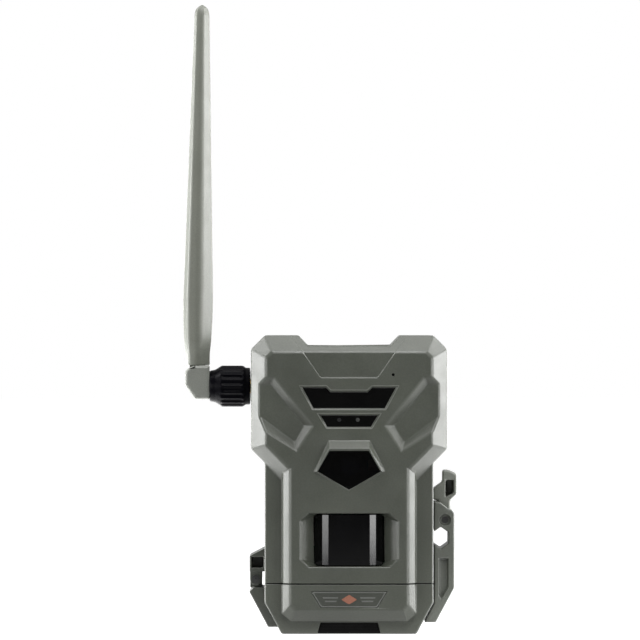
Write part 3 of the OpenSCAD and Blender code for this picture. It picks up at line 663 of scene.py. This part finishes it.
def turned(bm, profile, place, axis, count=64):
    """A closed profile of (along, radius) turned about an axis through a place."""
    turn = {"x": lambda h, r, c, s: (h, r * c, r * s), "y": lambda h, r, c, s: (r * s, h, r * c),
            "z": lambda h, r, c, s: (r * c, r * s, h)}[axis]
    base = Vector(place)
    rings = []
    for h, r in profile:
        ring = []
        for k in range(count):
            a = 2 * pi * k / count
            ring.append(base + Vector(turn(h, r, cos(a), sin(a))))
        rings.append(ring)
    tube_of_rings(bm, rings, closed=True)


def finished(name, bm, material, body, replaced=(), angle=38):
    """Makes a piece of an own mesh, with its normals outwards and its shading smooth."""
    bmesh.ops.recalc_face_normals(bm, faces=bm.faces)
    piece = make_object(name, bm, material, body, replaced)
    smooth_by_angle(piece.data, angle)
    even_normals(piece)
    return piece


def prism(bm, outline, y_front, y_back):
    """A solid between two depths from an outline of (x, z)."""
    front = [bm.verts.new(Vector((x, y_front, z)) * MM) for x, z in outline]
    back = [bm.verts.new(Vector((x, y_back, z)) * MM) for x, z in outline]
    bm.faces.new(front)
    bm.faces.new(list(reversed(back)))
    for i in range(len(outline)):
        j = (i + 1) % len(outline)
        bm.faces.new((front[j], front[i], back[i], back[j]))


def rounded_outline(points, size, steps=4):
    """An outline with each corner replaced by a short curve."""
    made = []
    count = len(points)
    for i, point in enumerate(points):
        here = Vector(point)
        back = Vector(points[i - 1]) - here
        on = Vector(points[(i + 1) % count]) - here
        start = here + back.normalized() * min(size, 0.45 * back.length)
        end = here + on.normalized() * min(size, 0.45 * on.length)
        for k in range(steps + 1):
            t = k / steps
            made.append((1 - t) ** 2 * start + 2 * t * (1 - t) * here + t ** 2 * end)
    return made


def blend_between(stops, z):
    """Values at the height z from stops of (z, value, ...)."""
    for low, high in zip(stops, stops[1:]):
        if z <= high[0]:
            t = (z - low[0]) / (high[0] - low[0])
            return [a + (b - a) * t for a, b in zip(low[1:], high[1:])]
    return list(stops[-1][1:])


def build_blade():
    """The antenna's long blade with soft edges, a rounded tip, its neck and the tongue in the elbow."""
    pin_low, pin_high = corner_mm("antenna_pin")
    pivot_x = (pin_low.x + pin_high.x) / 2
    pivot_y = (pin_low.y + pin_high.y) / 2
    pivot_z = (pin_low.z + pin_high.z) / 2
    tip = corner_mm("antenna_blade")[1].z
    foot = pivot_z + 6.95
    stops = [(foot, 5.35, 5.0), (foot + 0.12, 5.5, 5.15), (foot + 0.4, 5.62, 5.25), (121, 5.62, 5.1),
             (124, 5.95, 4.75), (127, 6.3, 4.4), (136, 6.75, 4.25), (145, 6.93, 4.2), (tip - 5, 3.5, 2.6)]
    heights = [foot, foot + 0.12, foot + 0.4, 119, 121, 122.5, 124, 125.5, 127, 130, 136]
    heights += [145 + 6 * k for k in range(21)] + [tip - 5]
    rings = []

    def ring_at(z, w, t):
        """The seven-sided section at a height, from its half width and half depth."""
        lean = 2 * max(0, z - 126) / (tip - 126)
        x = pivot_x + lean
        shape = ((-1, 0.2), (-0.68, -0.85), (-0.1, -1), (0.25, -0.9), (1, 0.2), (0.5, 1), (-0.5, 1))
        corners = [(x + across * w, pivot_y + deep * t) for across, deep in shape]
        return [(p.x, p.y, z) for p in rounded_outline(corners, 0.16 * w)]

    for z in heights:
        w, t = blend_between(stops, z)
        rings.append(ring_at(z, w, t))
    for k in range(1, 10):
        rise = sin(k * pi / 20)
        shrink = (1 - 0.92 * rise ** 4) * (1 - 0.16 * rise)
        rings.append(ring_at(tip - 5 + 5 * rise, 3.5 * shrink, 2.6 * shrink))
    bm = bmesh.new()
    made = tube_of_rings(bm, rings)
    cap(bm, made[-1], (pivot_x + 2, pivot_y, tip - 0.01))
    cap(bm, made[0], (pivot_x, pivot_y, foot), flip=True)
    turned(bm, [(pivot_y - 2.3, 1.3), (pivot_y - 2.3, 3.3), (pivot_y - 2.1, 3.58), (pivot_y + 2.1, 3.58),
                (pivot_y + 2.3, 3.3), (pivot_y + 2.3, 1.3)], (pivot_x, 0, pivot_z), "y", 40)
    prism(bm, [(pivot_x - 3.4, pivot_z + 2.2), (pivot_x + 3.4, pivot_z + 2.2), (pivot_x + 3.4, foot + 0.6),
               (pivot_x - 3.4, foot + 0.6)], pivot_y - 2.25, pivot_y + 2.25)
    finished("antenna_blade_fine", bm, "antenna_grey", "antenna", ["antenna_blade"], 24)


def build_collar():
    """The screwed collar: a turned body with twenty scooped flutes and a plain lip."""
    low, high = corner_mm("collar_nut")
    y = (low.y + high.y) / 2
    z = (low.z + high.z) / 2
    left, right = low.x, high.x
    outer = [(left, 4.2), (left, 6.3), (left + 0.12, 6.6), (left + 0.45, 6.82), (left + 2.2, 7.15),
             (left + 2.7, 7.35), (left + 4.6, 8.55), (left + 5.1, 8.86), (left + 5.6, 8.98)]
    outer += [(left + 5.6 + 0.75 * k, 8.99) for k in range(1, 12)]
    outer += [(left + 14.4, 8.95), (left + 15, 8.75), (left + 15.7, 8.2), (left + 16, 8.08),
              (right - 0.6, 8.08), (right - 0.2, 7.98), (right, 7.7), (right, 3.2)]
    inner = [(left + 8.7, 3.2), (left + 8.7, 5.2), (left + 6.6, 5.2), (left + 6.6, 3.7), (left, 3.7)]
    flutes, per_flute, flute_depth = 20, 14, 0.55
    count = flutes * per_flute
    rings = []
    for x, r in outer + inner:
        rise = min(1, max(0, (x - left - 4.4) / 1.8)) * min(1, max(0, (left + 15.4 - x) / 1.6))
        depth = flute_depth * rise * rise * (3 - 2 * rise) * (r > 8)
        ring = []
        for k in range(count):
            around = (k % per_flute) / per_flute
            scoop = max(0.0, sin(pi * around)) ** 1.6
            a = 2 * pi * k / count
            ring.append((x, y + (r - depth * scoop) * cos(a), z + (r - depth * scoop) * sin(a)))
        rings.append(ring)
    bm = bmesh.new()
    tube_of_rings(bm, rings, closed=True)
    finished("collar_fine", bm, "black_satin", "collar", ["collar_nut"], 40)


def cell_places():
    """The axis (x, y) of each of the eight cells."""
    low, high = corner_mm("batteries")
    pitch = (high.x - low.x - 2 * CELL_R) / 3
    return [(low.x + CELL_R + i * pitch, y) for i in range(4) for y in (low.y + CELL_R, high.y - CELL_R)]


def stacked(outline, x, y, levels):
    """Rings of an (x, y) outline scaled about a middle, one for each (height, scale)."""
    return [[(x + (p.x - x) * k, y + (p.y - y) * k, h) for p in outline] for h, k in levels]


def build_cells():
    """Eight AA cells: a film jacket with a crimped shoulder, and bare steel ends."""
    z = corner_mm("batteries")[0].z
    r = CELL_R
    jackets, ends = bmesh.new(), bmesh.new()
    film = [(0.25, 6.3), (0.1, 6.6), (0.2, 6.95), (0.6, r), (1.4, r), (1.7, r - 0.07), (2, r), (47.2, r),
            (47.5, r - 0.07), (47.8, r), (48.5, r), (48.95, 6.95), (49.1, 6.5), (49.1, 5.7), (48.9, 5.6),
            (48.7, 6.2)]
    can = [(0.02, 0.01), (0.0, 4.6), (0.12, 5.0), (0.3, 6.35), (0.6, 6.7), (48.5, 6.7), (48.8, 6.2),
           (48.85, 3.5), (49.0, 2.8), (49.4, 2.62), (50.2, 2.6), (50.4, 2.45), (50.5, 2.1), (50.5, 0.01)]
    for x, y in cell_places():
        turned(jackets, film, (x, y, z), "z", 48)
        turned(ends, can, (x, y, z), "z", 48)
    finished("cell_jackets", jackets, "cell_jacket", "tray", ["batteries"])
    finished("cell_ends", ends, "steel", "tray")


def add_spring(bm, x, y, foot, head):
    """A conical coil of round wire with its ends closed."""
    wire, around, turns, per_turn = SPRING_WIRE, 8, 3.25, 26
    wide, narrow = 3.7, 2.1
    steps = int(turns * per_turn)
    rings = []
    for k in range(steps + 1):
        t = k / steps
        a = 2 * pi * turns * t
        spread = wide - (wide - narrow) * t
        centre = Vector((x + spread * cos(a), y + spread * sin(a), foot + (head - foot) * t))
        out = Vector((cos(a), sin(a), 0))
        rings.append([centre + out * wire * cos(2 * pi * m / around)
                      + Vector((0, 0, wire * sin(2 * pi * m / around))) for m in range(around)])
    made = tube_of_rings(bm, rings)
    cap(bm, made[0], rings[0][0].lerp(rings[0][around // 2], 0.5), flip=True)
    cap(bm, made[-1], rings[-1][0].lerp(rings[-1][around // 2], 0.5))


def square_about(x, y, half, corner):
    """A square with rounded corners, as (x, y) points."""
    return rounded_outline([(x - half, y - half), (x + half, y - half), (x + half, y + half),
                            (x - half, y + half)], corner)


def build_tray_contacts():
    """Coil springs under the cells, dimpled plates over them and gilt pads on the tray's lid."""
    springs, plates, pads = bmesh.new(), bmesh.new(), bmesh.new()
    foot = corner_mm("tray_contacts")[0].z + SPRING_WIRE
    head = corner_mm("batteries")[0].z - SPRING_WIRE
    plate_z, plate_top, dimple_z = 67.62, 68.38, 67.95
    for x, y in cell_places():
        add_spring(springs, x, y, foot, head)
        square = square_about(x, y, 5, 1.2)
        dish = stacked(square, x, y, [(dimple_z, 0.1), (dimple_z, 0.38), (plate_z, 0.45)])
        rim = stacked(square, x, y, [(plate_z, 0.985), (67.7, 1.0), (68.3, 1.0), (plate_top, 0.985)])
        made = tube_of_rings(plates, dish + rim)
        cap(plates, made[0], (x, y, dimple_z), flip=True)
        cap(plates, made[-1], (x, y, plate_top))
    pad_y, pad_z, pad_top = 15, 70.2, 70.39
    for x in (-15, -5, 5, 15):
        square = square_about(x, pad_y, 2, 0.6)
        made = tube_of_rings(pads, stacked(square, x, pad_y, [(pad_z, 1.0), (70.33, 1.0), (pad_top, 0.94)]))
        cap(pads, made[0], (x, pad_y, pad_z), flip=True)
        cap(pads, made[-1], (x, pad_y, pad_top))
    finished("tray_springs", springs, "steel", "tray", ["tray_contacts"], 60)
    finished("tray_plates", plates, "steel", "tray")
    finished("tray_pads", pads, "brass", "tray")


def build_badge():
    """A plain emblem on the door's plate: a rim, a lozenge and two bars on each side."""
    low, high = corner_mm("badge_plate")
    front = low.y
    top, foot = high.z, low.z
    wide, narrow = high.x, 12.2

    def half_at(z):
        return narrow + (wide - narrow) * (z - foot) / (top - foot)

    rim = bmesh.new()
    loops = []
    for inset, y in ((0.12, front + 0.02), (0.2, front - 0.12), (0.55, front - 0.12), (0.63, front + 0.02)):
        z1, z0 = top - inset, foot + inset
        w1, w0 = half_at(z1) - 1.15 * inset, half_at(z0) - 1.15 * inset
        loop = rounded_outline([(-w0, z0), (w0, z0), (w1, z1), (-w1, z1)], 0.6)
        loops.append([(p.x, y, p.y) for p in loop])
    tube_of_rings(rim, loops)
    finished("badge_rim", rim, EMBLEM_GREY, "door")
    middle = (top + foot) / 2
    mark = bmesh.new()
    lozenge = rounded_outline([(-3.4, middle), (0, middle - 2.1), (3.4, middle), (0, middle + 2.1)], 0.4)
    prism(mark, [(p.x, p.y) for p in lozenge], front - 0.1, front + 0.02)
    finished("badge_lozenge", mark, EMBLEM, "door")
    bars = bmesh.new()
    for side in (-1, 1):
        for step in (0, 1):
            x0, x1 = 5 + 0.6 * step, 11.2 - 0.9 * step
            z = middle + 0.75 - 1.5 * step
            outline = [(side * x0, z - 0.32), (side * x1, z - 0.32), (side * (x1 + 0.3), z + 0.32),
                       (side * (x0 - 0.3), z + 0.32)]
            prism(bars, outline if side > 0 else list(reversed(outline)), front - 0.08, front + 0.02)
    finished("badge_bars", bars, EMBLEM_GREY, "door")


def build_ports():
    """The two small lights seen in the sensor window, each a flat dome set into the pane."""
    y = corner_mm("sensor_window")[0].y
    ports = (("light_port", "light_sensor", PORT_DIM), ("indicator_port", "indicator_led", PORT_PALE))
    for name, node, material in ports:
        low, high = corner_mm(node)
        x, z = (low.x + high.x) / 2, (low.z + high.z) / 2
        bm = bmesh.new()
        turned(bm, [(y + 0.02, 0.005), (y + 0.02, 0.86), (y - 0.03, 0.84), (y - 0.09, 0.6), (y - 0.12, 0.3),
                    (y - 0.13, 0.005)], (x, 0, z), "y", 32)
        finished(name, bm, material, "housing")


def spread(points, size):
    """A closed outline of (x, z) moved outwards by a size."""
    made = []
    count = len(points)
    for i, point in enumerate(points):
        here = Vector(point)
        along = (here - Vector(points[i - 1])).normalized()
        on = (Vector(points[(i + 1) % count]) - here).normalized()
        out = Vector((-along.y - on.y, along.x + on.x))
        made.append(here + out * size / (1 + along.dot(on)))
    return made


def build_window_frames():
    """A fine raised line round each of the two upper windows."""
    bm = bmesh.new()
    foot, crest = FACE_Y + 0.02, FACE_Y - 0.08
    section = ((0.75, foot), (0.81, crest), (0.97, crest), (1.03, foot))
    for right in (IR_RIGHT, SENSOR_RIGHT):
        outline = right + [(-x, z) for x, z in reversed(right)]
        tube_of_rings(bm, [[(p.x, y, p.y) for p in spread(outline, size)] for size, y in section])
    # The lines take the lighter lever copy of the olive plastic: a painted highlight
    finished("window_frames", bm, PAINTED_HIGHLIGHT_LEVER, "housing")


def build_lip_insert():
    """A black grip let into the door's lip, with four shallow ridges."""
    bm = bmesh.new()
    y0 = LEVEL_Y + 1.05
    prism(bm, [(-12.0, 5.5), (-13.6, 0.3), (13.6, 0.3), (12.0, 5.5)], y0, LEVEL_Y + 1.38)
    for k in range(4):
        z = 1.1 + 1.2 * k
        half = 13.1 - (z - 0.3) * 1.6 / 5.2
        ridge = [(-half, z + 0.25), (-half, z - 0.25), (half, z - 0.25), (half, z + 0.25)]
        prism(bm, ridge, y0 - 0.3, y0 + 0.05)
    finished("lip_grip", bm, GRIP, "door")


# ---------- Pieces ----------

refine("front_housing", "housing", "olive_shell", front_rule, 1.15)
refine("rear_housing", "housing", "olive_shell", rear_rule, 0.9)
refine("bottom_door", "door", "olive_shell", door_rule, 1.7, 4)
refine("hinge_arm", "door", "dark_olive", plain(0.45), 0.45)
refine("latch_arm", "door", "olive_shell", plain(0.6), 0.6, material=PAINTED_LIGHT_ARM)
refine("hinge_bracket", "housing", "dark_olive", plain(0.45), 0.45)
refine("latch_lever", "lever", "olive_shell", plain(1.0), 1.0, 4, PAINTED_HIGHLIGHT_LEVER)
refine("latch_keeper", "housing", "dark_olive", plain(0.3), 0.3)
refine("antenna_elbow", "elbow", "antenna_grey", elbow_radius, 1.5, 4, PAINTED_LIGHT_ELBOW)
refine("ir_window", "housing", "black_gloss", plain(0.18), 0.18)
refine("sensor_window", "housing", "black_gloss", plain(0.18), 0.18)
refine("lens_window", "housing", "black_gloss", plain(0.25), 0.25, material=SMOKED)
refine("pir_lens", "housing", "black_gloss", plain(0.3), 0.3, material=FRESNEL)
refine("battery_tray", "tray", "tray_plastic", plain(0.3), 0.3)
build_blade()
build_collar()
build_cells()
build_tray_contacts()
build_badge()
build_ports()
build_window_frames()
build_lip_insert()

slot_of = {s["node"]: s["material_slot"] for s in frame["record"]["subparts"]}
for name, node in nodes.items():
    node.data.materials.clear()
    node.data.materials.append(MATERIALS[slot_of[name]])
    if node.hide_render:
        continue
    soften = node.modifiers.new("soften", "BEVEL")
    soften.width = 0.15 * MM
    soften.segments = 2
    soften.limit_method = "ANGLE"
    soften.angle_limit = radians(40)
    soften.harden_normals = False
    even_normals(node)


# ---------- Stage, light and camera ----------

# How strongly the surroundings light the object: the world in front and behind, and the floor beside it
FRONT_GLOW, BACK_GLOW, FLOOR_GLOW = 0.02, 0.58, 4.8
STUDIO_MIDDLE = (0, 0, 0.1)
LIGHTS = [  # name, place, size in metres, power in watts
    ("left_box", (-0.8, 0.03, 0.2), (0.42, 0.38), 6.6),
    ("right_box", (0.8, 0.03, 0.2), (0.42, 0.38), 6.6),
    ("left_rear", (-0.44, 0.68, 0.18), (0.34, 0.36), 2.6),
    ("right_rear", (0.44, 0.68, 0.18), (0.34, 0.36), 2.6),
    ("left_strip", (-0.8, -0.72, 0.09), (0.3, 0.44), 3.4),
    ("right_strip", (0.8, -0.72, 0.09), (0.3, 0.44), 4.8),
    ("left_corner", (-0.64, 0.05, 0.68), (0.4, 0.4), 4.4),
    ("right_corner", (0.64, 0.05, 0.68), (0.4, 0.4), 4.4),
    ("front_box", (0.12, -0.9, 1.02), (0.6, 0.5), 9.0),
    ("top_box", (0, -0.05, 0.85), (0.9, 0.6), 4.0),
]
CAMERA_X, CAMERA_Z, CAMERA_DISTANCE, VIEW_WIDTH = -0.0126, 0.1362, 3.0, 0.277


def area_light(name, place, size, power):
    """A soft box that faces the object and that the camera doesn't see."""
    data = bpy.data.lights.new(name, "AREA")
    data.shape = "RECTANGLE"
    data.size, data.size_y = size
    data.energy = power
    made = bpy.data.objects.new(name, data)
    made.location = place
    made.rotation_euler = (Vector(STUDIO_MIDDLE) - Vector(place)).to_track_quat("-Z", "Y").to_euler()
    made.visible_camera = False
    bpy.context.scene.collection.objects.link(made)


def glow_by_ray(tree, level, seen):
    """A strength as the camera sees it, and its own level where it lights the object."""
    path = add(tree, "ShaderNodeLightPath")
    return add(tree, "ShaderNodeMapRange", {
        "Value": (path, "Is Camera Ray"), "To Min": level, "To Max": seen})


def set_floor():
    """A plain pale floor that glows in a pool beside and behind the object, and stays dim before it."""
    pale, tree, shader = new_material("pale_floor")
    shader.inputs["Base Color"].default_value = (0.22, 0.22, 0.22, 1)
    shader.inputs["Roughness"].default_value = 0.95
    shader.inputs["Specular IOR Level"].default_value = 0.1
    shader.inputs["Emission Color"].default_value = (1, 1, 1, 1)
    place = add(tree, "ShaderNodeTexCoord")
    split = add(tree, "ShaderNodeSeparateXYZ", {"Vector": (place, "Object")})
    reach = add(tree, "ShaderNodeVectorMath", {0: (place, "Object")}, operation="LENGTH")
    near = add(tree, "ShaderNodeMapRange", {
        "Value": (reach, "Value"), "From Min": 0.3, "From Max": 0.9, "To Min": FLOOR_GLOW, "To Max": 0.0})
    behind = add(tree, "ShaderNodeMapRange", {
        "Value": (split, "Y"), "From Min": -0.07, "From Max": 0.0, "To Max": (near, "Result")})
    aside = add(tree, "ShaderNodeMath", {0: (split, "X")}, operation="ABSOLUTE")
    beside = add(tree, "ShaderNodeMapRange", {
        "Value": (aside, "Value"), "From Min": 0.035, "From Max": 0.08, "To Min": 0.3, "To Max": 1.0})
    pool = add(tree, "ShaderNodeMath", {0: (behind, "Result"), 1: (beside, "Result")}, operation="MULTIPLY")
    glow = glow_by_ray(tree, (pool, "Value"), 0.94)
    tree.links.new(glow.outputs["Result"], shader.inputs["Emission Strength"])
    mesh = bpy.data.meshes.new("floor")
    mesh.from_pydata([(-9, -9, 0), (9, -9, 0), (9, 9, 0), (-9, 9, 0)], [], [(0, 1, 2, 3)])
    mesh.materials.append(pale)
    floor = bpy.data.objects.new("floor", mesh)
    bpy.context.scene.collection.objects.link(floor)


def set_world():
    """White surroundings, which light the object mostly from behind."""
    world = bpy.data.worlds.new("studio")
    world.use_nodes = True
    tree = world.node_tree
    background = tree.nodes["Background"]
    background.inputs["Color"].default_value = (1, 1, 1, 1)
    place = add(tree, "ShaderNodeTexCoord")
    split = add(tree, "ShaderNodeSeparateXYZ", {"Vector": (place, "Generated")})
    behind = add(tree, "ShaderNodeMapRange", {
        "Value": (split, "Y"), "From Min": -0.1, "From Max": 0.4, "To Min": FRONT_GLOW, "To Max": BACK_GLOW})
    glow = glow_by_ray(tree, (behind, "Result"), 1.0)
    tree.links.new(glow.outputs["Result"], background.inputs["Strength"])
    bpy.context.scene.world = world


def set_camera():
    """A long lens straight in front."""
    scene = bpy.context.scene
    data = bpy.data.cameras.new("camera")
    data.sensor_width = 36
    data.lens = data.sensor_width * CAMERA_DISTANCE / VIEW_WIDTH
    camera = bpy.data.objects.new("camera", data)
    camera.location = (CAMERA_X, FACE_Y * MM - CAMERA_DISTANCE, CAMERA_Z)
    camera.rotation_euler = (radians(90), 0, 0)
    scene.collection.objects.link(camera)
    scene.camera = camera
    scene.view_settings.view_transform = "Standard"


set_floor()
set_world()
for light in LIGHTS:
    area_light(*light)
set_camera()
